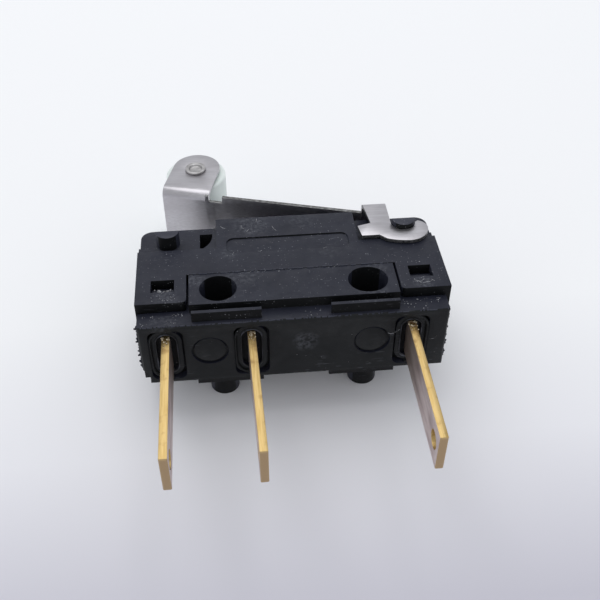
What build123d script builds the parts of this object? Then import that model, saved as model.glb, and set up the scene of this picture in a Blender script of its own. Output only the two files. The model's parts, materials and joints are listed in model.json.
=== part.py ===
"""Subminiature snap-action switch, 19.8 x 6.4 mm, with a roller lever.

Millimetres.  X runs along the case, Y from the terminals towards the plunger and the lever,
Z out of the front face.  The origin lies on the back face, midway between the two mounting holes.
"""
import os
from math import cos, pi, radians, sin, tan

from build123d import *

os.makedirs("parts", exist_ok=True)

# ---------------------------------------------------------------- case, outside
case_length = 19.8
case_width = 6.4
case_top = 7.12           # raised centre of the cover, above the line of the holes
centre_rise = 0.42        # raised centre above the shoulders
centre_length = 9.46
leg_end = -1.1            # lower end of the cover's legs
seam_y = 1.48             # joint between cover and hole block
terminal_face_y = -2.5
corner_radius = 0.78
side_relief = 0.11        # the outline steps in above the side step
side_step_y = 4.92
leg_width = 3.17
leg_corner = 0.3
wall = 0.72
roof = 0.75               # cover thickness under the shoulders
fit_gap = 0.05            # all round between base and cover
groove = 0.15             # open groove between each leg and the hole block

# ---------------------------------------------------------------- cover details
ear_recess_depth = 0.45
ear_recess_y = 4.0
boss_inset = 1.96         # pivot, in from the end of the case
boss_drop = 1.42          # pivot, below the shoulder
boss_radius = 0.78
boss_height = 1.1         # above the recess floor
window_shift = 0.1        # snap window, inwards of the middle of its leg
window_width = 1.47
window_low = -0.05
window_high = 1.06
left_hole_inset = 4.06    # straight side of each D-shaped core hole, in from the end
right_hole_inset = 3.3
core_hole_width = 0.84
core_hole_rise = 1.46
core_hole_drop = 0.62     # top of the left hole, below the shoulder
right_hole_step = 0.3     # the right hole is lower by this
plate_width = 8.15
plate_low = 3.35
plate_high = 4.95
plate_depth = 0.12

# ---------------------------------------------------------------- base details
hole_spacing = 9.5
hole_radius = 1.175
slot_extra = 0.2          # the right-hand hole is longer by this
hole_floor = 1.0          # floor of the blind holes, above the back face
peg_radius = 0.98
peg_length = 2.48
peg_edge = 0.08
block_front_y = -1.385
left_flange_inset = 0.08  # flange ends, in from the ends of the case
right_flange_inset = 0.3
rib_y = -2.17
rib_thickness = 0.25
rib_inset = 0.13          # rib ends, in from the ends of the hole block
rib_length = 4.3
rib_back_step = 0.13      # ribs stop this far in front of the back face
pocket_width = 2.2
pocket_height = 4.2
pocket_depth = 0.5
collar_thick = 0.34       # raised lip round each terminal in its pocket
collar_gap = 0.38         # well between the lip and the terminal's faces
collar_end_gap = 0.25     # and its edges
collar_height = 0.3
edge_break = 0.12         # chamfer round the terminal face
disc_radius = 1.0         # discs left by the mould's ejectors
disc_rise = 0.33          # above the middle of the terminal face
disc_ring_radius = 1.16   # outside of the ring sunk round each disc
disc_ring_drop = 0.11     # the ring is wider on the lower side
disc_ring_drift = 0.06    # and wider on the right of the right disc
disc_ring_depth = 0.2
left_disc_inset = 4.43    # discs, in from the ends of the case
right_disc_inset = 5.18
gate_x = 0.8
gate_shift = 0.55         # gate's dimple, in front of the middle of the face
gate_ball = 2.0           # radius of its hollow
gate_dent = 0.16
chip_width = 0.42         # broken corner of the flange
chip_height = 1.05
chip_depth = 0.6
latch_height = 0.4

# ---------------------------------------------------------------- terminals and contacts
blade_width = 2.8
blade_thick = 0.5
blade_tip_y = -11.6
tip_break = 0.08
wire_hole_radius = 0.6
wire_hole_back = 1.1      # wire hole centre, back from the tip
com_inset = 2.6           # end terminals, in from the ends of the case
nc_inset = 1.75
no_x = -2.85
no_lean = 1.0             # degrees; this blade is bent a little
contact_inset = 3.3
contact_radius = 0.75
contact_head = 0.35
contact_gap = 0.55        # open contacts, face to face
touch = 0.02              # left between faces that only touch
moving_thick = 0.9        # over both heads of the moving contact
nc_top = 5.6              # top of the normally closed terminal's arm
rocker_y = 4.55           # the two bearing notches in the common terminal
arm_y = 3.0
edge_thick = 0.3          # rounded edge that sits in a notch
notch_gap = 0.03
arm_thick = 0.25
rocker_width = 1.6
rocker_end_x = 1.0
spring_hole_inset = 0.55  # hole for the spring's hook, in from the rocker's end
spring_hole = 0.3
bearing_height = 0.45     # common terminal above the rocker's notch
arm_overlap = 0.1         # arms reach past the contacts by this
arm_ramp = 0.9            # bend of the contact arm, past the contact
arm_side = 0.9            # arm's frame beside the rocker
arm_rail = 0.55
arm_end = 1.0             # solid end of the arm at its bearing
spring_radius = 0.5       # middle of the wire
spring_wire = 0.18
spring_turns = 8

# ---------------------------------------------------------------- lever and roller
sheet = 0.26
ear_gap = 0.05            # between hook ear and front face
hook_clearance = 0.05
hook_fold = 0.45          # outside radius of the folds into the hook ears
hinge_rise = 2.22         # underside of the hinge plate, above the pivot
bend_reach = 2.46         # where the strip leaves the hinge plate, left of the pivot
stem_reach = 2.2          # hook outline from here on: distances from the pivot
foot_top = 0.08
foot_reach = 3.12
foot_slope = 0.25
foot_taper = 0.15
foot_drop = 1.24
heel_reach = 1.79
heel_ramp = 0.43
hook_low_x = 0.2
hook_drop = 2.0
hook_reach = 1.6
hook_side_drop = 0.7
hook_tip_x = 1.02
hook_tip_y = 0.07
strip_angle = 15.7        # strip above the case, lever free
strip_half_width = 2.75
round_ear_radius = 1.72
round_ear_along = 12.8    # pin's place along the strip from the bend
round_ear_top = 0.25      # middle of the rounded end, above the pin
round_ear_fold = 0.6
pin_height = 2.95         # above the strip's underside
round_ear_face = 2.9      # outer face of the round ears, from the mid plane
relief_length = 1.0       # notches beside the round ears' folds
relief_width = 0.5
roller_radius = 2.2
roller_side_gap = 0.1
roller_edge = 0.15
pin_radius = 0.6
pin_head_radius = 0.75
pin_head_height = 0.15
pin_dish_radius = 0.5
running_gap = 0.05

# ---------------------------------------------------------------- plunger and mechanism
plunger_x = 2.6
plunger_size = 1.7        # square stem
plunger_gap = 0.04
stop_height = 0.45        # flange that stops the plunger under the roof
stop_reach = 0.35
lever_travel = 8.0        # degrees, free position to full press

# ---------------------------------------------------------------- derived places
half_length = case_length / 2
mid_z = case_width / 2
upper_half = half_length - side_relief
shoulder_y = case_top - centre_rise
centre_half = centre_length / 2
recess_front = case_width - ear_recess_depth
cavity_half = half_length - wall
cavity_top = shoulder_y - roof
core_low = wall + fit_gap
core_high = case_width - core_low
core_top = seam_y - fit_gap
leg_inner_x = half_length - leg_width
block_half = leg_inner_x - groove
flange_left = left_flange_inset - half_length
flange_right = half_length - right_flange_inset
window_x = (leg_inner_x + half_length) / 2 - window_shift
hole_x = hole_spacing / 2
flange_top = leg_end - fit_gap
boss_x = half_length - boss_inset
boss_y = shoulder_y - boss_drop
com_x = half_length - com_inset
nc_x = nc_inset - half_length
contact_x = contact_inset - half_length
bend_x = boss_x - bend_reach
hinge_under_y = boss_y + hinge_rise
sides = (-1, 1)


def span(low, high):
    """Centre and length of a stretch."""
    return (low + high) / 2, high - low


def block(x_range, y_range, z_range, mode=Mode.ADD):
    """Rectangular block between two values on each axis."""
    (cx, dx), (cy, dy), (cz, dz) = span(*x_range), span(*y_range), span(*z_range)
    with Locations((cx, cy, cz)):
        Box(dx, dy, dz, mode=mode)


# ---------------------------------------------------------------- cover
with BuildPart() as cover:
    with BuildSketch() as cover_outline:
        with BuildLine():
            Polyline(
                (0, leg_end),
                (half_length, leg_end),
                (half_length, side_step_y),
                (upper_half, side_step_y),
                (upper_half, shoulder_y),
                (centre_half, shoulder_y),
                (centre_half, case_top),
                (0, case_top),
            )
            mirror(about=Plane.YZ)
        make_face()
        top_corners = cover_outline.vertices().filter_by(
            lambda v: abs(v.X) > centre_half + 0.01 and v.Y > shoulder_y - 0.01
        )
        fillet(top_corners, corner_radius)
    extrude(amount=case_width)

    # open between the legs, and hollow behind the walls
    block((-leg_inner_x, leg_inner_x), (leg_end, seam_y), (0, case_width), Mode.SUBTRACT)
    leg_corners = cover.edges().filter_by(Axis.Z).filter_by(
        lambda e: abs(abs(e.center().X) - leg_inner_x) < 0.01 and e.center().Y < leg_end + 0.01
    )
    fillet(leg_corners, leg_corner)
    block((-cavity_half, cavity_half), (leg_end, cavity_top), (wall, case_width - wall), Mode.SUBTRACT)

    # corners set back for the lever's ears, front and back
    for side in sides:
        reach = sorted((side * centre_half, side * (half_length + 1)))
        upward = (ear_recess_y, case_top + 1)
        block(reach, upward, (recess_front, case_width + 1), Mode.SUBTRACT)
        block(reach, upward, (-1, ear_recess_depth), Mode.SUBTRACT)

    # half-round pivot bosses: the flat faces the lever
    for face_z, height in ((recess_front, boss_height), (ear_recess_depth, -boss_height)):
        with BuildSketch(Plane.XY.offset(face_z)):
            with Locations((-boss_x, boss_y), (boss_x, boss_y)):
                Circle(boss_radius)
                Rectangle(3 * boss_radius, 2 * boss_radius, align=(Align.CENTER, Align.MIN), mode=Mode.SUBTRACT)
        extrude(amount=height)

    # D-shaped core holes beside the bosses, straight side outwards
    core_hole_high = shoulder_y - core_hole_drop
    for side, inset, step in ((-1, left_hole_inset, 0), (1, right_hole_inset, right_hole_step)):
        outer = side * (half_length - inset)
        inner = outer - side * core_hole_width
        high = core_hole_high - step
        low = high - core_hole_rise
        start = (inner, high)
        waist = (inner + side * 0.12 * core_hole_width, (low + high) / 2)
        toe = (outer - side * 0.25 * core_hole_width, low)
        with BuildSketch():
            with BuildLine():
                Line((outer, high), start)
                ThreePointArc(start, waist, toe)
                Polyline(toe, (outer, low), (outer, high))
            make_face()
        extrude(amount=case_width, mode=Mode.SUBTRACT)

    # snap windows in the legs
    window_mid, window_rise = span(window_low, window_high)
    with BuildSketch():
        with Locations((-window_x, window_mid), (window_x, window_mid)):
            Rectangle(window_width, window_rise)
    extrude(amount=case_width, mode=Mode.SUBTRACT)

    # blank nameplate recess
    plate_mid, plate_rise = span(plate_low, plate_high)
    with BuildSketch(Plane.XY.offset(case_width)):
        with Locations((0, plate_mid)):
            RectangleRounded(plate_width, plate_rise, 0.5)
    extrude(amount=-plate_depth, mode=Mode.SUBTRACT)

    # guide for the plunger
    guide = plunger_size / 2 + plunger_gap
    block(
        (plunger_x - guide, plunger_x + guide),
        (cavity_top - 0.1, case_top + 0.1),
        (mid_z - guide, mid_z + guide),
        Mode.SUBTRACT,
    )
cover.part.label = "cover"

# ---------------------------------------------------------------- base
with BuildPart() as base:
    inner_half = cavity_half - fit_gap
    block((-inner_half, inner_half), (flange_top, core_top), (core_low, core_high))
    block((-block_half, block_half), (block_front_y, core_top), (0, case_width))
    block((flange_left, flange_right), (terminal_face_y, flange_top + 0.01), (wall, case_width - wall))
    chamfer(base.faces().sort_by(Axis.Y)[0].edges(), edge_break)

    # full-depth ribs in front of the holes
    rib_outer_x = block_half - rib_inset
    for side in sides:
        reach = sorted((side * (rib_outer_x - rib_length), side * rib_outer_x))
        block(reach, (rib_y, rib_y + rib_thickness), (rib_back_step, case_width))

    # latches in the snap windows: square below, ramped above, front and back
    catch_y = window_low + fit_gap
    crest_y = catch_y + 0.45 * window_rise
    ramp_y = window_high - fit_gap
    for side in sides:
        with BuildSketch(Plane.YZ.offset(side * window_x)):
            with BuildLine():
                Polyline(
                    (catch_y, mid_z),
                    (catch_y, core_high + latch_height),
                    (crest_y, core_high + latch_height),
                    (ramp_y, core_high),
                    (ramp_y, case_width - core_high),
                    (crest_y, case_width - core_high - latch_height),
                    (catch_y, case_width - core_high - latch_height),
                    close=True,
                )
            make_face()
        extrude(amount=window_width / 2 - fit_gap, both=True)

    # mounting holes from the front: one round, one slotted along the case
    with BuildSketch(Plane.XY.offset(hole_floor)):
        with Locations((-hole_x, 0)):
            Circle(hole_radius)
        with Locations((hole_x, 0)):
            SlotOverall(2 * hole_radius + slot_extra, 2 * hole_radius)
    extrude(amount=case_width, mode=Mode.SUBTRACT)

    # locating pegs on the back, in line with the holes
    for side in sides:
        with Locations((side * hole_x, 0, 0)):
            peg = Cylinder(peg_radius, peg_length, align=(Align.CENTER, Align.CENTER, Align.MAX))
        chamfer(peg.edges().filter_by(GeomType.CIRCLE).sort_by(Axis.Z)[0], peg_edge)

    # pockets round the terminals, each with a lip round its blade, and the slots that grip them
    face = Plane((0, terminal_face_y, mid_z), x_dir=(1, 0, 0), z_dir=(0, -1, 0))
    well = (blade_thick / 2 + collar_gap, blade_width / 2 + collar_end_gap)
    lip = (well[0] + collar_thick, well[1] + collar_thick)
    with BuildSketch(face):
        with Locations((nc_x, 0), (no_x, 0), (com_x, 0)):
            RectangleRounded(pocket_width, pocket_height, 0.5)
    extrude(amount=-pocket_depth, mode=Mode.SUBTRACT)
    with BuildSketch(face.offset(-pocket_depth)):
        with Locations((nc_x, 0), (no_x, 0), (com_x, 0)):
            SlotOverall(2 * lip[1], 2 * lip[0], rotation=90)
            SlotOverall(2 * well[1], 2 * well[0], rotation=90, mode=Mode.SUBTRACT)
    extrude(amount=collar_height)
    with BuildSketch(face):
        with Locations((nc_x, 0), (no_x, 0), (com_x, 0)):
            Rectangle(blade_thick, blade_width)
    extrude(amount=-case_top, mode=Mode.SUBTRACT)

    # uneven rings round the mould's ejector discs, and the dimple of the gate
    for x, drift in (
        (left_disc_inset - half_length, 0),
        (half_length - right_disc_inset, disc_ring_drift),
    ):
        with BuildSketch(face):
            with Locations((x + drift, disc_rise - disc_ring_drop)):
                Circle(disc_ring_radius)
            with Locations((x, disc_rise)):
                Circle(disc_radius, mode=Mode.SUBTRACT)
        extrude(amount=-disc_ring_depth, mode=Mode.SUBTRACT)
    with Locations((gate_x, terminal_face_y + gate_dent - gate_ball, mid_z + gate_shift)):
        Sphere(gate_ball, mode=Mode.SUBTRACT)

    # corner of the flange broken off in two steps
    chip_low = wall + chip_height
    with BuildSketch(Plane.XZ.offset(-terminal_face_y - chip_depth)):
        with BuildLine():
            Polyline(
                (flange_left - chip_width, wall - chip_width),
                (flange_left + 0.9 * chip_width, wall - chip_width),
                (flange_left + chip_width, wall + 0.9 * chip_height),
                (flange_left, chip_low + 0.2 * chip_height),
                (flange_left - chip_width, chip_low + 0.2 * chip_height),
                close=True,
            )
        make_face()
    extrude(amount=2 * chip_depth, mode=Mode.SUBTRACT)
base.part.label = "base"

# ---------------------------------------------------------------- terminals
blade_low = mid_z - blade_width / 2
blade_high = mid_z + blade_width / 2
nc_face = nc_top - blade_thick - contact_head
no_face = nc_face - touch - moving_thick - contact_gap
no_top = no_face - contact_head
arm_reach = contact_radius + arm_overlap


def blade(x, top):
    """Flat terminal from its coined tip to a height in the case, wire hole through it."""
    with BuildPart() as piece:
        with BuildSketch(Plane.YZ.offset(x)):
            with BuildLine():
                Polyline(
                    (blade_tip_y, blade_low),
                    (top, blade_low),
                    (top, blade_high),
                    (blade_tip_y, blade_high),
                    close=True,
                )
            make_face()
            with Locations((blade_tip_y + wire_hole_back, mid_z)):
                Circle(wire_hole_radius, mode=Mode.SUBTRACT)
        extrude(amount=blade_thick / 2, both=True)
        chamfer(piece.faces().sort_by(Axis.Y)[0].edges(), tip_break)
    return piece.part


notch_x = com_x - blade_thick / 2
with BuildPart() as com_terminal:
    add(blade(com_x, rocker_y + bearing_height))
    with Locations((notch_x, arm_y, mid_z), (notch_x, rocker_y, mid_z)):
        Cylinder(edge_thick / 2 + notch_gap, blade_width, mode=Mode.SUBTRACT)
com_terminal.part.label = "com_terminal"

with BuildPart() as no_terminal:
    # bent a little where it leaves the base
    root_y = terminal_face_y + pocket_depth
    add(blade(no_x, root_y).rotate(Axis((no_x, root_y, mid_z), (0, 0, 1)), no_lean))
    with Locations((no_x, root_y, mid_z)):
        Cylinder(blade_thick / 2, blade_width)
    block(
        (no_x - blade_thick / 2, no_x + blade_thick / 2), (root_y, no_top), (blade_low, blade_high)
    )
    block((contact_x - arm_reach, no_x), (no_top - blade_thick, no_top), (blade_low, blade_high))
no_terminal.part.label = "no_terminal"

with BuildPart() as nc_terminal:
    add(blade(nc_x, nc_top))
    block((nc_x, contact_x + arm_reach), (nc_top - blade_thick, nc_top), (blade_low, blade_high))
nc_terminal.part.label = "nc_terminal"


# ---------------------------------------------------------------- contacts
def stud(low, high, radius):
    """Round stud standing along Y at the contacts' place."""
    with BuildPart() as piece:
        with Locations((contact_x, (low + high) / 2, mid_z)):
            Cylinder(radius, high - low, rotation=(90, 0, 0))
    return piece.part


with BuildPart() as nc_contact:
    add(stud(nc_face, nc_top - blade_thick, contact_radius))
nc_contact.part.label = "nc_contact"

with BuildPart() as no_contact:
    add(stud(no_top, no_face, contact_radius))
no_contact.part.label = "no_contact"

moving_top = nc_face - touch
moving_low = moving_top - moving_thick
arm_tip_y = (moving_top + moving_low) / 2
arm_tip_x = contact_x - arm_reach
arm_bend_x = contact_x + arm_reach + arm_ramp
hook_x = arm_bend_x + 0.5

with BuildPart() as moving_contact:
    add(stud(moving_low, arm_tip_y - arm_thick / 2, contact_radius))
    add(stud(arm_tip_y + arm_thick / 2, moving_top, contact_radius))
    add(stud(moving_low, moving_top, contact_radius / 2))
moving_contact.part.label = "moving_contact"

# ---------------------------------------------------------------- contact arm
arm_half = rocker_width / 2 + arm_side
with BuildPart() as contact_arm:
    run = [(notch_x, arm_y), (arm_bend_x, arm_tip_y), (arm_tip_x, arm_tip_y)]
    under = [(x, y - arm_thick / 2) for x, y in run]
    over = [(x, y + arm_thick / 2) for x, y in reversed(run)]
    with BuildSketch(Plane.XY.offset(mid_z)):
        with BuildLine():
            Polyline(*under, *over, close=True)
        make_face()
    extrude(amount=arm_half, both=True)
    # rounded edge that bears in the notch
    with Locations((notch_x, arm_y, mid_z)):
        Cylinder(edge_thick / 2, 2 * arm_half)
    # open frame round the rocker and the spring
    window_half = arm_half - arm_rail
    block(
        (hook_x, notch_x - arm_end), (0, case_top), (mid_z - window_half, mid_z + window_half), Mode.SUBTRACT
    )
    add(stud(moving_low, moving_top, contact_radius / 2), mode=Mode.SUBTRACT)
contact_arm.part.label = "contact_arm"

# ---------------------------------------------------------------- actuator rocker
with BuildPart() as actuator_rocker:
    rocker_low = mid_z - rocker_width / 2
    rocker_high = mid_z + rocker_width / 2
    block(
        (rocker_end_x, notch_x), (rocker_y - edge_thick / 2, rocker_y + edge_thick / 2),
        (rocker_low, rocker_high),
    )
    with Locations((notch_x, rocker_y, mid_z)):
        Cylinder(edge_thick / 2, rocker_width)
    # hole for the spring's hook
    with Locations((rocker_end_x + spring_hole_inset, rocker_y, mid_z)):
        Cylinder(spring_hole, 4 * edge_thick, rotation=(90, 0, 0), mode=Mode.SUBTRACT)
actuator_rocker.part.label = "actuator_rocker"

# ---------------------------------------------------------------- snap spring
spring_start = (rocker_end_x - 0.1, rocker_y)
spring_stop = (hook_x + 0.1, arm_tip_y + 0.1)
spring_run = spring_start[0] - spring_stop[0]
spring_drop = spring_start[1] - spring_stop[1]
spring_length = (spring_run**2 + spring_drop**2) ** 0.5 - spring_wire
steps = 8 * spring_turns
turns = [2 * pi * i / 8 for i in range(steps + 1)]
points = [(spring_radius * cos(t), spring_radius * sin(t), spring_length * t / turns[-1]) for t in turns]
with BuildPart() as coil:
    with BuildLine() as path:
        Polyline(points)
    with BuildSketch(Plane(path.wire() @ 0, z_dir=path.wire() % 0)):
        Rectangle(spring_wire, spring_wire)
    sweep(path=path.wire(), transition=Transition.RIGHT)
with BuildPart() as snap_spring:
    along_spring = Plane(
        (spring_stop[0] + spring_wire / 2, spring_stop[1], mid_z), z_dir=(spring_run, spring_drop, 0)
    )
    add(along_spring.location * coil.part)
snap_spring.part.label = "snap_spring"

# ---------------------------------------------------------------- plunger
nose = plunger_size / 2
lean = radians(strip_angle)
nose_y = rocker_y + edge_thick / 2 + touch + nose
dome_y = hinge_under_y + (bend_x - plunger_x) * tan(lean) - (nose + touch) / cos(lean)
with BuildPart() as plunger:
    with BuildSketch(Plane.XY.offset(mid_z)):
        with Locations((plunger_x, (nose_y + dome_y) / 2)):
            SlotCenterToCenter(dome_y - nose_y, plunger_size, rotation=90)
    extrude(amount=nose, both=True)
    # flange that stops it under the roof
    flange_top_y = cavity_top - fit_gap
    block(
        (plunger_x - nose - stop_reach, plunger_x + nose + stop_reach),
        (flange_top_y - stop_height, flange_top_y),
        (mid_z - nose - stop_reach, mid_z + nose + stop_reach),
    )
plunger.part.label = "plunger"

# ---------------------------------------------------------------- lever
hook_half = mid_z + ear_gap + sheet
hinge_over_y = hinge_under_y + sheet
grip = boss_radius + hook_clearance
base_along = round_ear_along - round_ear_radius
strip_dir = (-cos(lean), sin(lean), 0)
pivot_plane = Plane((boss_x, boss_y, mid_z))
strip_plane = Plane((bend_x, hinge_under_y, mid_z), x_dir=strip_dir, z_dir=(0, 0, -1))


def channel(half_width, depth, outer_bend):
    """Section folded from the sheet: web from the origin down, one leg at each end of it."""
    with BuildSketch() as section:
        Rectangle(2 * half_width, depth, align=(Align.CENTER, Align.MAX))
        fillet(section.vertices().group_by(Axis.Y)[-1], outer_bend)
    with BuildSketch() as inside:
        with Locations((0, -sheet)):
            Rectangle(2 * (half_width - sheet), depth, align=(Align.CENTER, Align.MAX))
        fillet(inside.vertices().group_by(Axis.Y)[-1], outer_bend - sheet)
    return section.sketch - inside.sketch


with BuildPart() as hook:
    # hinge plate folded down into an ear on each side of the case
    fold_start = boss_x - foot_reach - sheet
    with BuildSketch(Plane((fold_start, hinge_over_y, mid_z), x_dir=(0, 0, -1), z_dir=(1, 0, 0))):
        add(channel(hook_half, case_top, hook_fold))
    extrude(amount=foot_reach + hook_reach + 2 * sheet)
    # outline of plate and hooks, measured from the pivot
    with BuildSketch(pivot_plane):
        with BuildLine():
            plate_over = hinge_rise + sheet
            lowest = (hook_low_x, -hook_drop)
            ramp_end = (heel_ramp - heel_reach, -foot_drop - heel_ramp)
            widest = (hook_reach, -hook_side_drop)
            shoulder = (hook_tip_x, hook_tip_y)
            inner_tip = (grip * cos(0.1), -grip * sin(0.1))
            Polyline(
                (-grip, 0),
                (-grip, plate_over),
                (-bend_reach, plate_over),
                (-stem_reach, foot_top),
                (-foot_reach, foot_top - foot_slope),
                (foot_taper - foot_reach, -foot_drop),
                (-heel_reach, -foot_drop),
                ramp_end,
            )
            TangentArc(lowest, ramp_end, tangent=(-1, 0))
            TangentArc(lowest, widest, tangent=(1, 0))
            TangentArc(widest, shoulder, tangent=(0, 1))
            Line(shoulder, inner_tip)
            ThreePointArc(inner_tip, (0, -grip), (-grip, 0))
        make_face()
    extrude(amount=2 * hook_half, both=True, mode=Mode.INTERSECT)

with BuildPart() as fork:
    # the same fold turned over, cut to the two round ears
    section_plane = Plane(
        strip_plane.from_local_coords((base_along, 0, 0)), x_dir=(0, 0, 1), z_dir=strip_dir
    )
    with BuildSketch(section_plane):
        add(channel(round_ear_face, case_top, round_ear_fold), rotation=180)
    extrude(amount=2 * round_ear_radius)
    with BuildSketch(strip_plane):
        round_ear_middle = pin_height + round_ear_top
        with Locations((round_ear_along, 0)):
            Rectangle(2 * round_ear_radius, round_ear_middle, align=(Align.CENTER, Align.MIN))
        with Locations((round_ear_along, round_ear_middle)):
            Circle(round_ear_radius)
        with Locations((round_ear_along, pin_height)):
            Circle(pin_radius, mode=Mode.SUBTRACT)
    extrude(amount=2 * round_ear_face, both=True, mode=Mode.INTERSECT)

with BuildPart() as lever:
    add(hook.part)
    add(fork.part)
    with BuildSketch(strip_plane):
        with BuildLine():
            Polyline(
                (0, 0),
                (base_along + sheet, 0),
                (base_along + sheet, sheet),
                (-sheet * tan(lean / 2), sheet),
                close=True,
            )
        make_face()
    extrude(amount=strip_half_width, both=True)
    # relief notches where the round ears are folded up
    for side in sides:
        with BuildSketch(strip_plane.offset(side * strip_half_width)):
            with Locations((base_along, sheet / 2)):
                Rectangle(relief_length, 3 * sheet, align=(Align.MAX, Align.CENTER))
        extrude(amount=-side * relief_width, mode=Mode.SUBTRACT)
lever.part.label = "lever"

# ---------------------------------------------------------------- roller and its pin
roller_half = round_ear_face - sheet - roller_side_gap
with BuildPart() as roller:
    with BuildSketch(strip_plane):
        with Locations((round_ear_along, pin_height)):
            Circle(roller_radius)
            Circle(pin_radius + running_gap, mode=Mode.SUBTRACT)
    extrude(amount=roller_half, both=True)
    rims = roller.edges().filter_by(GeomType.CIRCLE).filter_by(lambda e: e.radius > roller_radius - 0.01)
    fillet(rims, roller_edge)
roller.part.label = "roller"

with BuildPart() as roller_pin:
    with BuildSketch(strip_plane):
        with Locations((round_ear_along, pin_height)):
            Circle(pin_radius)
    extrude(amount=round_ear_face, both=True)
    for side in sides:
        with BuildSketch(strip_plane.offset(side * round_ear_face)):
            with Locations((round_ear_along, pin_height)):
                Circle(pin_head_radius)
        extrude(amount=side * pin_head_height)
        # dished end, left where it was rolled over
        with BuildSketch(strip_plane.offset(side * (round_ear_face + pin_head_height))):
            with Locations((round_ear_along, pin_height)):
                Circle(pin_dish_radius)
        extrude(amount=-side * pin_head_height, taper=30, mode=Mode.SUBTRACT)
roller_pin.part.label = "roller_pin"

# ---------------------------------------------------------------- export
for piece in (
    cover, base, com_terminal, no_terminal, nc_terminal, nc_contact, no_contact, moving_contact,
    contact_arm, actuator_rocker, snap_spring, plunger, lever, roller, roller_pin,
):
    export_step(piece.part, f"parts/{piece.part.label}.step")
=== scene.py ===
"""Subminiature micro switch with a roller lever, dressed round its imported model.

Metres.  X runs along the case, Y from the terminals towards the lever, Z out of the front face.
Sizes on the switch are written in millimetres and turned into metres by MM.
"""
import json
import random
from math import cos, pi, radians, sin

import bmesh
import bpy
from mathutils import Matrix, Vector

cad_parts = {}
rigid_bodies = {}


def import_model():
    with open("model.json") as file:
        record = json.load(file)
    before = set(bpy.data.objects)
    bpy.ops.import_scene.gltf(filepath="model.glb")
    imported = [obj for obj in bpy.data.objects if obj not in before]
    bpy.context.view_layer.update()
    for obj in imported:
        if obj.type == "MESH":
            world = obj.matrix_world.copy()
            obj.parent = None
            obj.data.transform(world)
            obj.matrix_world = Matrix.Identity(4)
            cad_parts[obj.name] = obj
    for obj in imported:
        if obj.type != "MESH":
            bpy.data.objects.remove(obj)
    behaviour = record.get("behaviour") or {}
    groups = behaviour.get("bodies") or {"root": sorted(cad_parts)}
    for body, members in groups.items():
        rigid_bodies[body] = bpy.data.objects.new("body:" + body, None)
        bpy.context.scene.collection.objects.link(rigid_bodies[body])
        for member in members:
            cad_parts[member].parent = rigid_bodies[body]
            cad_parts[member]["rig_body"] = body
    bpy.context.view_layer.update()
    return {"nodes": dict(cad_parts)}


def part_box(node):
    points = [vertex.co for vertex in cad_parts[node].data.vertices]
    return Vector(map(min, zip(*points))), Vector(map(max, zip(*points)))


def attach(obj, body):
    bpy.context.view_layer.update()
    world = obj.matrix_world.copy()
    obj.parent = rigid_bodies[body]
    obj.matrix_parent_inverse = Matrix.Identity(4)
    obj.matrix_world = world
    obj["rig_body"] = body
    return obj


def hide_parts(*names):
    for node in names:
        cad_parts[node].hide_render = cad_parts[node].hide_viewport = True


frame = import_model()
nodes = frame["nodes"]
MM = 0.001

# ---------------------------------------------------------------------------------------------
# Camera, sweep and lamp.  The switch lies on its two pegs and the edge of one roller ear, so
# the sweep leans under it.  A broad soft lamp hangs above and the room gives the rest.
# ---------------------------------------------------------------------------------------------
scene = bpy.context.scene
lens = bpy.data.cameras.new("camera")
lens.lens = 51.3
lens.clip_start = 0.001
camera = bpy.data.objects.new("camera", lens)
camera.location = (-3.7 * MM, -40.21 * MM, 42.01 * MM)
camera.rotation_euler = (0.82886, -0.00434, -0.09807)
scene.collection.objects.link(camera)
scene.camera = camera
scene.view_settings.view_transform = "Standard"

floor_lean = radians(10.6)
far_lean = radians(5.0)
peg_tip = Vector((0, 0.9, -2.48)) * MM
brow_reach = 48 * MM
sweep_half = 3.0
# where the paper's painted shade is full and where it has gone, in millimetres along Y
painted_shade_full_y, painted_shade_gone_y = -16.0, 6.0


def link_mesh(name, shape):
    """Makes a mesh object from a bmesh and links it."""
    mesh = bpy.data.meshes.new(name)
    shape.to_mesh(mesh)
    shape.free()
    piece = bpy.data.objects.new(name, mesh)
    scene.collection.objects.link(piece)
    return piece


def new_material(name):
    """Node material with its shader, and the object's own coordinates in millimetres."""
    material = bpy.data.materials.new(name)
    material.use_nodes = True
    tree = material.node_tree
    shader = tree.nodes["Principled BSDF"]
    place = tree.nodes.new("ShaderNodeTexCoord")
    scaled = tree.nodes.new("ShaderNodeMapping")
    scaled.inputs["Scale"].default_value = [1 / MM] * 3
    tree.links.new(place.outputs["Object"], scaled.inputs["Vector"])
    return material, tree, shader, scaled.outputs["Vector"]


def add_node(tree, kind, settings=None, **inputs):
    """Adds a node, sets its properties, and sets or links each input by name or by _number."""
    made = tree.nodes.new(kind)
    for key, value in (settings or {}).items():
        setattr(made, key, value)
    for key, value in inputs.items():
        numbered = key[1:].isdigit()
        socket = made.inputs[int(key[1:]) if numbered else key.replace("_", " ")]
        if isinstance(value, bpy.types.NodeSocket):
            tree.links.new(value, socket)
        else:
            socket.default_value = value
    return made


def band(tree, value, low, high, to_low=0.0, to_high=1.0):
    """Value mapped from low..high to to_low..to_high, and held beyond."""
    return add_node(
        tree, "ShaderNodeMapRange", _0=value, _1=low, _2=high, _3=to_low, _4=to_high
    ).outputs["Result"]


def ramp(tree, value, *stops):
    """Colour ramp through (position, colour) stops."""
    made = add_node(tree, "ShaderNodeValToRGB", Fac=value)
    places = made.color_ramp.elements
    while len(places) < len(stops):
        places.new(1.0)
    for place, (position, colour) in zip(places, stops):
        place.position = position
        place.color = (*colour, 1)
    return made.outputs["Color"]


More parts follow.
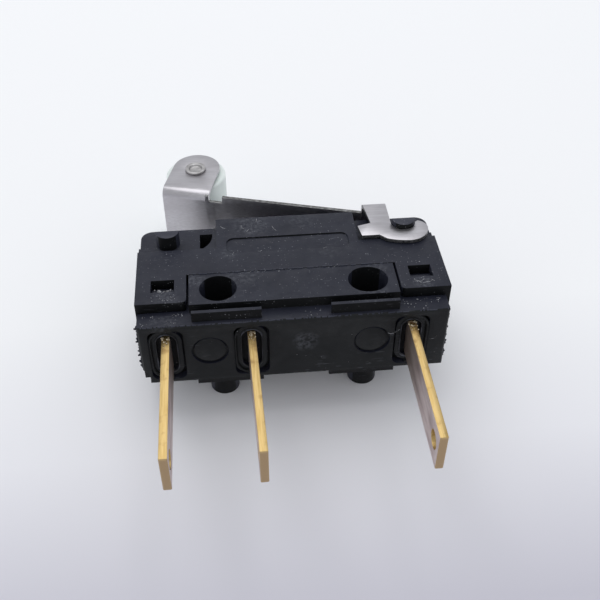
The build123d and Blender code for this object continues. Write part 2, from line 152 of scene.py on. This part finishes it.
# the lean eases off well behind the switch, so that low views from behind clear the floor
brow = peg_tip + Matrix.Rotation(floor_lean, 3, "X") @ Vector((0, brow_reach, 0))
sweep = bmesh.new()
bmesh.ops.create_grid(sweep, x_segments=1, y_segments=2, size=sweep_half)
for lean, row in (
    (floor_lean, [vert for vert in sweep.verts if vert.co.y < -1]),
    (far_lean, [vert for vert in sweep.verts if vert.co.y > 1]),
):
    bmesh.ops.rotate(sweep, verts=row, matrix=Matrix.Rotation(lean, 3, "X"))
bmesh.ops.translate(sweep, verts=sweep.verts, vec=brow)
floor = link_mesh("sweep", sweep)

# painted shade: the paper darkens towards the camera, where the light falls off and the switch
# shades the sweep in front of it
paper, tree, shader, at = new_material("paper")
depth = add_node(tree, "ShaderNodeSeparateXYZ", Vector=at).outputs["Y"]
shade = ramp(
    tree, band(tree, depth, painted_shade_full_y, painted_shade_gone_y),
    (0.0, (0.60, 0.59, 0.66)), (0.5, (0.86, 0.86, 0.90)), (1.0, (0.96, 0.965, 0.98)),
)
tree.links.new(shade, shader.inputs["Base Color"])
shader.inputs["Roughness"].default_value = 0.9
shader.inputs["Specular IOR Level"].default_value = 0.1
floor.data.materials.append(paper)

lamp = bpy.data.lights.new("overhead", "AREA")
lamp.size = 0.36
lamp.energy = 0.62
lamp_place = Vector((-0.04, 0.10, 0.40))
holder = bpy.data.objects.new("overhead", lamp)
holder.location = lamp_place
holder.rotation_euler = lamp_place.to_track_quat("Z", "Y").to_euler()
scene.collection.objects.link(holder)

room = bpy.data.worlds.new("room")
room.use_nodes = True
glow = room.node_tree.nodes["Background"]
glow.inputs["Color"].default_value = (0.95, 0.97, 1.0, 1)
glow.inputs["Strength"].default_value = 0.70
scene.world = room

# ---------------------------------------------------------------------------------------------
# Cover and base.  Two mouldings in dark blue-grey thermoset, snapped together: fine matte
# texture, hair scratches and specks of dust, and a torn gate in the middle of the base.
# ---------------------------------------------------------------------------------------------
front = 6.4
terminal_face = -2.5
scuffs = {
    # where each moulding is rubbed pale: place, radius and strength
    "cover": (
        ((-2.4, 6.3, front), 1.5, 0.5), ((1.2, 6.6, front), 1.2, 0.3),
        ((8.2, -0.6, front), 0.75, 0.6), ((-8.0, -0.5, front), 0.9, 0.45),
        ((-3.9, 3.4, front), 0.8, 0.4), ((2.6, 3.0, front), 0.9, 0.2),
    ),
    "base": (
        ((0.55, terminal_face, 3.7), 0.95, 0.6), ((-6.2, 0.9, front), 0.8, 0.6),
        ((-3.2, 1.3, front), 1.6, 0.35), ((5.4, 1.2, front), 1.0, 0.35),
        ((4.9, -1.4, 6.0), 1.2, 0.5), ((-8.3, -2.2, 5.9), 1.0, 0.4),
    ),
}
# dark and light end of each plastic's mottled tone
blue_black = (0.0120, 0.0135, 0.0240), (0.0180, 0.0200, 0.0330)
# darker copies of the plastic's tone, for faces turned toward the terminals: painted shade
green_black = (0.0080, 0.0092, 0.0098), (0.0118, 0.0130, 0.0138)
deep_black = (0.0040, 0.0044, 0.0050), (0.0070, 0.0076, 0.0085)
# a paler copy of the plastic's tone, for the flat tops of the bosses: painted sheen
boss_sheen_grey = (0.028, 0.030, 0.045), (0.038, 0.040, 0.058)
scratch_grey = (0.20, 0.21, 0.24)
dust_grey = (0.42, 0.43, 0.46)


def noise(tree, vector, scale, detail=3.0):
    """Noise value, between about 0.3 and 0.7."""
    return add_node(
        tree, "ShaderNodeTexNoise", Vector=vector, Scale=scale, Detail=detail
    ).outputs["Fac"]


def combine(tree, operation, a, b):
    """Two values joined by a math operation."""
    return add_node(tree, "ShaderNodeMath", {"operation": operation}, _0=a, _1=b).outputs["Value"]


def blend(tree, amount, under, over):
    """Colour mixed from a socket's colour to a plain one."""
    return add_node(
        tree, "ShaderNodeMix", {"data_type": "RGBA"}, _0=amount, _6=under, _7=(*over, 1)
    ).outputs[2]


def moulded_plastic(
    name, pale=(), roughness=(0.40, 0.58), tones=blue_black, shine=0.27, facing="Z"
):
    """Dark thermoset with mottled tone, dust, hair scratches, scuffs and a fine grain."""
    material, tree, shader, at = new_material(name)
    tone = ramp(tree, noise(tree, at, 0.45, 5.0), (0.3, tones[0]), (0.7, tones[1]))

    # specks: a small dot in some of the cells, thicker in patches and towards the front
    specks = None
    for scale, radius, chosen in ((3.0, 0.14, 0.72), (7.0, 0.20, 0.62)):
        cells = add_node(tree, "ShaderNodeTexVoronoi", Vector=at, Scale=scale)
        split = add_node(tree, "ShaderNodeSeparateColor", Color=cells.outputs["Color"])
        dot = combine(
            tree, "MULTIPLY", band(tree, cells.outputs["Distance"], radius, radius / 2),
            band(tree, split.outputs["Red"], chosen, chosen + 0.3),
        )
        specks = dot if specks is None else combine(tree, "MAXIMUM", specks, dot)
    height = add_node(tree, "ShaderNodeSeparateXYZ", Vector=at).outputs["Z"]
    patches = combine(
        tree, "MULTIPLY", band(tree, noise(tree, at, 0.45), 0.35, 0.62, 0.0, 0.8),
        band(tree, height, 5.6, 5.9, 0.06, 1.0),
    )
    dust = combine(tree, "MULTIPLY", specks, patches)

    # hair scratches: noise drawn out along three directions of a face and cut to its crests
    marks = None
    rubbed = band(tree, noise(tree, at, 0.28), 0.48, 0.62, 0.0, 0.45)
    for turn, crest in ((0.5, 0.705), (-1.15, 0.700), (2.0, 0.715)):
        tilt = (0.3, 0.2, turn) if facing == "Z" else (0.3, turn, 0.2)
        laid = add_node(
            tree, "ShaderNodeMapping", Vector=at, Rotation=tilt, Scale=(1.1, 11.0, 11.0)
        ).outputs["Vector"]
        streak = combine(
            tree, "MULTIPLY", band(tree, noise(tree, laid, 1.0, 1.0), crest, crest + 0.04), rubbed
        )
        marks = streak if marks is None else combine(tree, "MAXIMUM", marks, streak)

    # scuffs: torn patches round the given places
    for place, radius, strength in pale:
        away = add_node(tree, "ShaderNodeVectorMath", {"operation": "DISTANCE"}, _0=at, _1=place)
        torn = combine(
            tree, "MULTIPLY", band(tree, away.outputs["Value"], radius, radius / 2),
            band(tree, noise(tree, at, 4.2, 6.0), 0.42, 0.72, 0.0, strength),
        )
        marks = combine(tree, "MAXIMUM", marks, torn)
    marks = combine(tree, "MULTIPLY", marks, 0.55)
    marked = blend(tree, marks, tone, scratch_grey)
    tree.links.new(blend(tree, dust, marked, dust_grey), shader.inputs["Base Color"])

    matte = band(tree, noise(tree, at, 1.6), 0.3, 0.7, *roughness)
    tree.links.new(matte, shader.inputs["Roughness"])
    grain = combine(
        tree, "ADD", combine(tree, "MULTIPLY", noise(tree, at, 16.0), 0.5),
        combine(tree, "MULTIPLY", noise(tree, at, 3.2), 0.7),
    )
    raised = add_node(tree, "ShaderNodeBump", Strength=0.35, Distance=0.04 * MM, Height=grain)
    tree.links.new(raised.outputs["Normal"], shader.inputs["Normal"])
    shader.inputs["Specular IOR Level"].default_value = shine
    return material


flat_angle, corner_angle, shaded_angle = radians(1), radians(30), radians(40)


def softened(node, name, width):
    """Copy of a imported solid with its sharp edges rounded, riding where the solid rides."""
    shape = bmesh.new()
    shape.from_mesh(nodes[node].data)
    bmesh.ops.remove_doubles(shape, verts=shape.verts, dist=1e-7)
    bmesh.ops.dissolve_limit(
        shape, angle_limit=flat_angle, verts=shape.verts, edges=shape.edges, delimit={"NORMAL"}
    )
    corners = [edge for edge in shape.edges if edge.calc_face_angle(0) > corner_angle]
    bmesh.ops.bevel(
        shape, geom=corners, offset=width, segments=2, profile=0.5, affect="EDGES", material=-1,
        clamp_overlap=True,
    )
    bmesh.ops.remove_doubles(shape, verts=shape.verts, dist=1e-6)
    bmesh.ops.dissolve_degenerate(shape, edges=shape.edges, dist=1e-6)
    bmesh.ops.triangulate(shape, faces=shape.faces)
    piece = link_mesh(name, shape)
    piece.data.set_sharp_from_angle(angle=shaded_angle)
    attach(piece, nodes[node]["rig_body"])
    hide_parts(node)
    return piece


for node in ("cover", "base"):
    moulding = softened(node, node + "_moulding", 0.06 * MM)
    moulding.data.materials.append(moulded_plastic(node + "_plastic", scuffs[node]))

# walls that face the terminals get a near-black copy of the plastic, and the terminal face
# itself a greener, duller copy: painted shade on the faces turned from the lamp
painted_shade_walls = moulded_plastic("painted_shade_walls", (), (0.40, 0.55), deep_black, 0.13)
terminal_face_wear_and_shade = moulded_plastic(
    "terminal_face_wear_and_shade", scuffs["base"], (0.45, 0.60), green_black, 0.22, "Y"
)
wall_slot, terminal_slot, boss_slot = 1, 2, 3
terminal_depth = -2.2 * MM
for name in ("cover_moulding", "base_moulding"):
    moulding = bpy.data.objects[name].data
    moulding.materials.append(painted_shade_walls)
    moulding.materials.append(terminal_face_wear_and_shade)
    for face in moulding.polygons:
        if face.normal.y < -0.7:
            on_terminal_face = face.center.y < terminal_depth
            face.material_index = terminal_slot if on_terminal_face else wall_slot

# the flat tops of the two half-round bosses are smoother and painted paler: a painted sheen
boss_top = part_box("cover")[1].z
moulding = bpy.data.objects["cover_moulding"].data
moulding.materials.append(moulded_plastic("boss_sheen_plastic", (), (0.28, 0.36), boss_sheen_grey))
for face in moulding.polygons:
    if face.center.z > boss_top - 0.1 * MM:
        face.material_index = boss_slot

# ---------------------------------------------------------------------------------------------
# Flash.  Thin ragged fins of the same plastic that the mould left on both ends of the base's
# flange, and short broken slivers along the seam under the cover and the flange's front edge.
# ---------------------------------------------------------------------------------------------
chance = random.Random(11)
flash_plastic = moulded_plastic("flash_plastic")
base_low, base_high = (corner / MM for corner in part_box("base"))
flange_y = -2.12
ledge = 5.68
fin_root = -0.06
fin_thickness = 0.14 * MM
long_teeth = 0.06


def leave_on_case(piece, material):
    """Dresses a trace of moulding or use in its material and lets it ride on the case."""
    piece.data.materials.append(material)
    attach(piece, "case")


for side, edge_x, outward, reach, long, middle_z in (
    ("left", base_low.x, -1, 0.09, 3.6, 3.8), ("right", base_high.x, 1, 0.11, 4.75, 3.2),
):
    fin = bmesh.new()
    bmesh.ops.create_grid(fin, x_segments=1, y_segments=90, size=0.5)
    for vert in fin.verts:
        out = fin_root
        if vert.co.x > 0:
            out = reach * (0.1 + chance.random() ** 2)
            if chance.random() < long_teeth:
                out = reach * (1.2 + chance.random())
        drift = 0.12 * (chance.random() - 0.5)
        along = middle_z + long * vert.co.y
        vert.co = Vector((edge_x + outward * out, flange_y + drift, along)) * MM
    bmesh.ops.solidify(fin, geom=fin.faces[:], thickness=fin_thickness)
    bmesh.ops.recalc_face_normals(fin, faces=fin.faces)
    bmesh.ops.triangulate(fin, faces=fin.faces)
    leave_on_case(link_mesh("flash_" + side, fin), flash_plastic)

sparse_from, sparse_gap = 2.5, 5
# the slivers are flash, painted paler than the plastic as a painted highlight along the seam under
# the cover and the flange's front edge
flash_painted_highlight = moulded_plastic(
    "flash_painted_highlight", (), (0.4, 0.5), ((0.030, 0.033, 0.050), (0.055, 0.058, 0.080))
)
for name, x, end, y, z, wide, gap in (
    ("seam_flash", -6.3, 6.4, 1.46, front, 0.05, 0.3),
    ("flange_flash", -9.6, 9.5, -2.42, ledge - 0.04, 0.045, 0.15),
):
    row = bmesh.new()
    while x < end:
        run = min(0.08 + 0.5 * chance.random() ** 2, end - x)
        high = 0.03 + 0.04 * chance.random()
        sliver = bmesh.ops.create_cube(row, size=1.0)["verts"]
        bmesh.ops.scale(row, verts=sliver, vec=Vector((run, wide, 2 * high)) * MM)
        lean = Matrix.Rotation(0.2 * (chance.random() - 0.5), 3, "Z")
        bmesh.ops.rotate(row, verts=sliver, matrix=lean)
        bmesh.ops.translate(row, verts=sliver, vec=Vector((x + run / 2, y, z)) * MM)
        x += run + 0.03 + gap * (sparse_gap if x > sparse_from else 1) * chance.random() ** 2
    bmesh.ops.triangulate(row, faces=row.faces)
    leave_on_case(link_mesh(name, row), flash_painted_highlight)

# ---------------------------------------------------------------------------------------------
# Crumbs and lint.  Swarf and dust caught on the latches in the windows, on the flange's ledge,
# on the front and on the terminal face, with a few pale curled fibres among them.
# ---------------------------------------------------------------------------------------------
debris, tree, shader, at = new_material("debris")
pale = ramp(
    tree, noise(tree, at, 4.0, 2.0), (0.35, (0.06, 0.058, 0.06)), (0.62, (0.38, 0.385, 0.41))
)
tree.links.new(pale, shader.inputs["Base Color"])
shader.inputs["Roughness"].default_value = 0.85

latch = 6.03
plate = 6.28
full_turn = 6.3
scatter = (
    # low corner, high corner, count, size
    ((-8.85, 0.0, latch), (-7.6, 0.55, latch + 0.06), 46, 0.075),
    ((-8.9, -0.9, front), (-7.3, -0.15, front), 26, 0.032),
    ((7.6, 0.02, latch), (8.85, 0.3, latch), 8, 0.05),
    ((-9.5, -1.6, ledge), (-7.0, -1.35, ledge), 14, 0.05),
    ((-9.6, -2.3, ledge), (-6.6, -1.4, ledge), 16, 0.03),
    ((0.4, -2.3, ledge), (1.7, -1.45, ledge), 10, 0.04),
    ((2.0, -2.05, front), (6.2, -1.9, front), 6, 0.025),
    ((2.0, -1.7, ledge), (6.4, -1.45, ledge), 10, 0.04),
    ((6.8, -2.3, ledge), (9.4, -1.35, ledge), 26, 0.045),
    ((-4.4, -1.3, front), (4.0, -1.25, front), 8, 0.028),
    ((-3.4, 0.0, front), (3.6, 1.4, front), 8, 0.028),
    ((-3.6, 1.25, front), (0.5, 1.5, front), 12, 0.035),
    ((-9.0, terminal_face, 1.0), (9.0, terminal_face, 5.4), 20, 0.03),
)
crumbs = bmesh.new()
for low, high, count, size in scatter:
    for _ in range(count):
        grown = bmesh.ops.create_icosphere(crumbs, subdivisions=1, radius=size * MM)["verts"]
        for vert in grown:
            vert.co *= 0.5 + 0.7 * chance.random()
        flat = Matrix.Diagonal((0.6 + chance.random(), 0.5 + 0.6 * chance.random(), 0.6))
        turn = Matrix.Rotation(full_turn * chance.random(), 3, "Z")
        bmesh.ops.transform(crumbs, verts=grown, matrix=turn @ flat)
        spot = Vector([a + (b - a) * chance.random() for a, b in zip(low, high)])
        bmesh.ops.translate(crumbs, verts=grown, vec=spot * MM)
leave_on_case(link_mesh("crumbs", crumbs), debris)


def tube(name, strands, thickness, closed=False, wobble=0.5):
    """Uneven thin tubes: each strand is a row of points in millimetres."""
    fibre = bpy.data.curves.new(name, "CURVE")
    fibre.dimensions = "3D"
    fibre.bevel_depth = thickness * MM
    fibre.bevel_resolution = 1
    fibre.use_fill_caps = not closed
    fibre.resolution_u = 4
    for strand in strands:
        line = fibre.splines.new("NURBS")
        line.points.add(len(strand) - 1)
        for point, place in zip(line.points, strand):
            point.co = (*(Vector(place) * MM), 1)
            point.radius = 1 + wobble * (chance.random() - 0.5)
        line.order_u = 3
        line.use_endpoint_u = not closed
        line.use_cyclic_u = closed
    spun = bpy.data.objects.new(name, fibre)
    scene.collection.objects.link(spun)
    bpy.context.view_layer.update()
    graph = bpy.context.evaluated_depsgraph_get()
    mesh = bpy.data.meshes.new_from_object(spun.evaluated_get(graph))
    bpy.data.objects.remove(spun)
    piece = bpy.data.objects.new(name, mesh)
    scene.collection.objects.link(piece)
    return piece


def strand_at(x, y, z, long, heading, facing="Z"):
    """Short curved strand lying on a face, from its middle, length and heading in degrees."""
    along = Matrix.Rotation(radians(heading), 3, facing) @ Vector((long / 2, 0, 0))
    across = Matrix.Rotation(radians(90), 3, facing) @ along * (chance.random() - 0.5)
    middle = Vector((x, y, z))
    bowed = [middle - along * 0.3 + across, middle + along * 0.4 + across]
    return [middle - along, *bowed, middle + along]


fibres = [
    strand_at(7.75, -0.42, front, 0.35, -60), strand_at(7.9, -0.55, front, 0.4, -45),
    strand_at(8.15, -0.45, front, 0.3, 40), strand_at(8.4, -0.4, front, 0.35, -30),
    strand_at(8.6, -0.5, front, 0.45, 20), strand_at(8.85, -0.45, front, 0.25, -50),
    strand_at(8.3, -0.65, front, 0.3, 10), strand_at(8.75, 2.6, front, 0.2, 35),
    strand_at(-4.2, 6.2, front, 0.5, -35), strand_at(-2.9, 6.1, front, 0.45, -65),
    strand_at(-2.6, 5.7, front, 0.3, 60), strand_at(-1.95, 6.75, front, 0.35, 80),
    strand_at(-0.75, 5.75, front, 0.75, -62), strand_at(-3.7, 3.5, plate, 0.3, 55),
    strand_at(-1.9, 3.6, plate, 0.25, 10), strand_at(2.4, 3.5, plate, 0.35, 30),
    strand_at(5.95, terminal_face, 3.95, 0.35, 8, "Y"),
    strand_at(6.35, terminal_face, 4.1, 0.4, -38, "Y"),
    strand_at(8.75, terminal_face, 3.3, 0.5, -30, "Y"), strand_at(5.0, -1.55, ledge, 0.4, 25),
]
leave_on_case(tube("lint", fibres, 0.016), debris)

# ---------------------------------------------------------------------------------------------
# Terminals.  Blades stamped from plated brass strip: the broad faces keep a dull tarnished
# plating, the sheared edges and the tips are bare brass.  Sealing resin films their wells.
# ---------------------------------------------------------------------------------------------
nc_x, no_x, com_x = -8.15, -2.85, 7.3
blade_z, blade_edge, blade_tip = 3.2, 4.6, -11.50
lip_y, bead_y = -2.3, -2.36
brass, tree, shader, at = new_material("sheared_brass")
drawn = add_node(tree, "ShaderNodeMapping", Vector=at, Scale=(6.0, 0.35, 6.0)).outputs["Vector"]
lines = noise(tree, drawn, 1.6, 4.0)
golden = ramp(tree, lines, (0.25, (0.42, 0.285, 0.10)), (0.60, (0.60, 0.44, 0.195)))
run_out = add_node(tree, "ShaderNodeSeparateXYZ", Vector=at).outputs["Y"]
heat = band(tree, run_out, -5.5, lip_y, 0.0, 0.2)
stain = combine(tree, "ADD", noise(tree, at, 1.5, 5.0), heat)
tanned = blend(tree, band(tree, stain, 0.56, 0.80, 0.0, 0.8), golden, (0.24, 0.135, 0.05))
bare_tip = blend(tree, band(tree, run_out, blade_tip, -11.56), tanned, (0.52, 0.375, 0.21))
tree.links.new(bare_tip, shader.inputs["Base Color"])
tree.links.new(band(tree, lines, 0.0, 1.0, 0.36, 0.52), shader.inputs["Roughness"])
scored = add_node(tree, "ShaderNodeBump", Strength=0.3, Distance=0.02 * MM, Height=lines)
tree.links.new(scored.outputs["Normal"], shader.inputs["Normal"])
shader.inputs["Metallic"].default_value = 0.9

plated, tree, shader, at = new_material("tarnished_plating")
rolled = add_node(tree, "ShaderNodeMapping", Vector=at, Scale=(1.0, 0.3, 1.0)).outputs["Vector"]
clouds = noise(tree, rolled, 1.0, 5.0)
film = ramp(
    tree, clouds,
    (0.30, (0.37, 0.285, 0.27)), (0.48, (0.57, 0.465, 0.45)), (0.72, (0.80, 0.71, 0.68)),
)
run_out = add_node(tree, "ShaderNodeSeparateXYZ", Vector=at).outputs["Y"]
sooty = blend(tree, band(tree, run_out, -7.0, -3.2, 0.0, 0.75), film, (0.17, 0.125, 0.085))
tree.links.new(sooty, shader.inputs["Base Color"])
tree.links.new(band(tree, clouds, 0.0, 1.0, 0.55, 0.35), shader.inputs["Roughness"])
shader.inputs["Metallic"].default_value = 0.65

for name in ("com_terminal", "no_terminal", "nc_terminal"):
    piece = softened(name, name + "_blade", 0.03 * MM)
    piece.data.materials.append(brass)
    piece.data.materials.append(plated)
    for face in piece.data.polygons:
        face.material_index = 1 if abs(face.normal.x) > 0.9 else 0

resin, tree, shader, at = new_material("sealing_resin")
milky = ramp(
    tree, noise(tree, at, 1.1), (0.48, (0.012, 0.013, 0.015)), (0.72, (0.075, 0.080, 0.100))
)
tree.links.new(milky, shader.inputs["Base Color"])
shader.inputs["Roughness"].default_value = 0.36
shader.inputs["Specular IOR Level"].default_value = 0.3


def slot_path(x, y, z, half, end, count=28):
    """Points round an upright slot shape that faces along Y."""
    path = []
    for step in range(count):
        turn = 2 * pi * (step + 0.5) / count
        lift = end - half if sin(turn) > 0 else half - end
        path.append((x + half * cos(turn), y, z + half * sin(turn) + lift))
    return path


rings = [slot_path(x, lip_y, blade_z, 0.66, 1.68) for x in (com_x, no_x, nc_x)]
leave_on_case(tube("resin_film", rings, 0.055, closed=True, wobble=0.9), resin)

# a thicker bead, as dull as the terminal face, lies on one side of each well: the ring is cut
# open opposite that side, and only the points far from the cut are kept
bead_points, bead_from, bead_to = 40, 9, 32
beads = []
for x, side in ((com_x, 1), (no_x, -1), (nc_x, -1)):
    ring = slot_path(x, bead_y, blade_z, 1.03, 2.05, bead_points)
    cut = min(
        range(bead_points),
        key=lambda step: side * ring[step][0] + 0.01 * abs(ring[step][2] - blade_z),
    )
    ring = ring[cut:] + ring[:cut]
    beads.append(ring[bead_from:bead_to])
leave_on_case(tube("sealing_resin", beads, 0.115, wobble=0.5), terminal_face_wear_and_shade)

# swarf and flux left on the blades' upper edges where they enter the case
swarf, tree, shader, at = new_material("swarf")
burnt = ramp(tree, noise(tree, at, 3.0), (0.38, (0.16, 0.085, 0.035)), (0.62, (0.66, 0.58, 0.42)))
tree.links.new(burnt, shader.inputs["Base Color"])
shader.inputs["Roughness"].default_value = 0.6
grit = bmesh.new()
for x, count in ((nc_x, 16), (no_x, 26), (com_x, 26)):
    for _ in range(count):
        bit = bmesh.ops.create_icosphere(grit, subdivisions=1, radius=0.055 * MM)["verts"]
        for vert in bit:
            vert.co *= 0.5 + 0.8 * chance.random()
        aside = 0.5 * (chance.random() - 0.5)
        outward = 0.75 * chance.random() ** 2
        above = 0.05 * chance.random()
        spot = Vector((x, lip_y, blade_edge)) + Vector((aside, -outward, above))
        bmesh.ops.translate(grit, verts=bit, vec=spot * MM)
piece = link_mesh("swarf", grit)
piece.data.materials.append(swarf)
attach(piece, "case")

# ---------------------------------------------------------------------------------------------
# Contacts.  Riveted silver buttons, two fixed and one on the moving arm, dulled by arcing.
# ---------------------------------------------------------------------------------------------
silver, tree, shader, at = new_material("contact_silver")
dulled = ramp(tree, noise(tree, at, 2.5, 4.0), (0.3, (0.42, 0.40, 0.37)), (0.6, (0.86, 0.84, 0.80)))
tree.links.new(dulled, shader.inputs["Base Color"])
shader.inputs["Metallic"].default_value = 1.0
shader.inputs["Roughness"].default_value = 0.3
for name in ("nc_contact", "no_contact", "moving_contact"):
    piece = softened(name, name + "_button", 0.04 * MM)
    piece.data.materials.append(silver)

# ---------------------------------------------------------------------------------------------
# Contact arm and actuator rocker.  Both are beryllium-copper strip, rolled along its length,
# and bear in the notches of the common terminal.
# ---------------------------------------------------------------------------------------------
copper, tree, shader, at = new_material("spring_copper")
rolled = add_node(tree, "ShaderNodeMapping", Vector=at, Scale=(0.5, 8.0, 8.0)).outputs["Vector"]
warm = ramp(tree, noise(tree, rolled, 1.5), (0.0, (0.46, 0.24, 0.13)), (1.0, (0.74, 0.44, 0.28)))
tree.links.new(warm, shader.inputs["Base Color"])
shader.inputs["Metallic"].default_value = 1.0
shader.inputs["Roughness"].default_value = 0.35
for name in ("contact_arm", "actuator_rocker"):
    piece = softened(name, name + "_strip", 0.02 * MM)
    piece.data.materials.append(copper)

# ---------------------------------------------------------------------------------------------
# Plunger.  Small dark moulded slider with a domed end, polished where the lever rubs it.
# ---------------------------------------------------------------------------------------------
slider, tree, shader, at = new_material("plunger_plastic")
dark = ramp(
    tree, noise(tree, at, 1.2), (0.0, (0.010, 0.010, 0.012)), (1.0, (0.026, 0.026, 0.030))
)
tree.links.new(dark, shader.inputs["Base Color"])
rise = add_node(tree, "ShaderNodeSeparateXYZ", Vector=at).outputs["Y"]
tree.links.new(band(tree, rise, 7.2, 8.0, 0.5, 0.25), shader.inputs["Roughness"])
piece = softened("plunger", "plunger_slider", 0.05 * MM)
piece.data.materials.append(slider)

# ---------------------------------------------------------------------------------------------
# Lever.  One piece of rolled stainless sheet: hinge plate with two hooks, strip, and two round
# ears folded up for the roller.  The rolling marks run along the strip.
# ---------------------------------------------------------------------------------------------
strip_turn = radians(15.7)
steel, tree, shader, at = new_material("stainless_sheet")
brushed = add_node(
    tree, "ShaderNodeMapping", Vector=at, Rotation=(0, 0, strip_turn), Scale=(0.4, 9.0, 9.0)
).outputs["Vector"]
strokes = noise(tree, brushed, 1.4, 4.0)
mixed = combine(tree, "MULTIPLY", strokes, noise(tree, at, 0.4))
tint = ramp(tree, mixed, (0.1, (0.44, 0.425, 0.445)), (0.45, (0.60, 0.59, 0.62)))
tree.links.new(tint, shader.inputs["Base Color"])
tree.links.new(band(tree, strokes, 0.3, 0.7, 0.30, 0.42), shader.inputs["Roughness"])
ridges = add_node(tree, "ShaderNodeBump", Strength=0.15, Distance=0.01 * MM, Height=strokes)
tree.links.new(ridges.outputs["Normal"], shader.inputs["Normal"])
shader.inputs["Metallic"].default_value = 1.0

sheared, tree, shader, at = new_material("sheared_steel")
torn = ramp(tree, noise(tree, at, 5.0), (0.35, (0.10, 0.10, 0.10)), (0.65, (0.27, 0.27, 0.27)))
tree.links.new(torn, shader.inputs["Base Color"])
shader.inputs["Metallic"].default_value = 0.9
shader.inputs["Roughness"].default_value = 0.5

piece = softened("lever", "lever_sheet", 0.03 * MM)
piece.data.materials.append(steel)
piece.data.materials.append(sheared)
strip_edge, hook_inside, hook_outside = 6.0, 6.47, 6.70
for face in piece.data.polygons:
    height = face.center.z / MM
    on_strip_edge = face.normal.z > 0.9 and height < strip_edge
    on_hook_edge = abs(face.normal.z) < 0.2 and hook_inside < height < hook_outside
    if on_strip_edge or on_hook_edge:
        face.material_index = 1

# ---------------------------------------------------------------------------------------------
# Roller, roller pin and snap spring.  The roller is turned from pale nylon and runs on a steel
# pin whose ends are dished over the ears.  The spring is wound from steel wire.
# ---------------------------------------------------------------------------------------------
nylon, tree, shader, at = new_material("roller_nylon")
chalk = ramp(
    tree, noise(tree, at, 0.9), (0.3, (0.715, 0.785, 0.76)), (0.7, (0.775, 0.845, 0.815))
)
tree.links.new(chalk, shader.inputs["Base Color"])
chatter = add_node(
    tree, "ShaderNodeBump", Strength=0.2, Distance=0.02 * MM, Height=noise(tree, at, 12.0, 2.0)
)
tree.links.new(chatter.outputs["Normal"], shader.inputs["Normal"])
shader.inputs["Roughness"].default_value = 0.42
shader.inputs["Subsurface Weight"].default_value = 0.5
shader.inputs["Subsurface Radius"].default_value = (1.0, 1.0, 1.0)
shader.inputs["Subsurface Scale"].default_value = 0.9 * MM
piece = softened("roller", "roller_wheel", 0.05 * MM)
piece.data.materials.append(nylon)

wire, tree, shader, at = new_material("pin_steel")
grey = ramp(tree, noise(tree, at, 2.2, 4.0), (0.3, (0.34, 0.33, 0.33)), (0.7, (0.55, 0.54, 0.54)))
tree.links.new(grey, shader.inputs["Base Color"])
shader.inputs["Metallic"].default_value = 1.0
shader.inputs["Roughness"].default_value = 0.42
piece = softened("roller_pin", "roller_pin_rivet", 0.03 * MM)
piece.data.materials.append(wire)
nodes["snap_spring"].data.materials.clear()
nodes["snap_spring"].data.materials.append(wire)
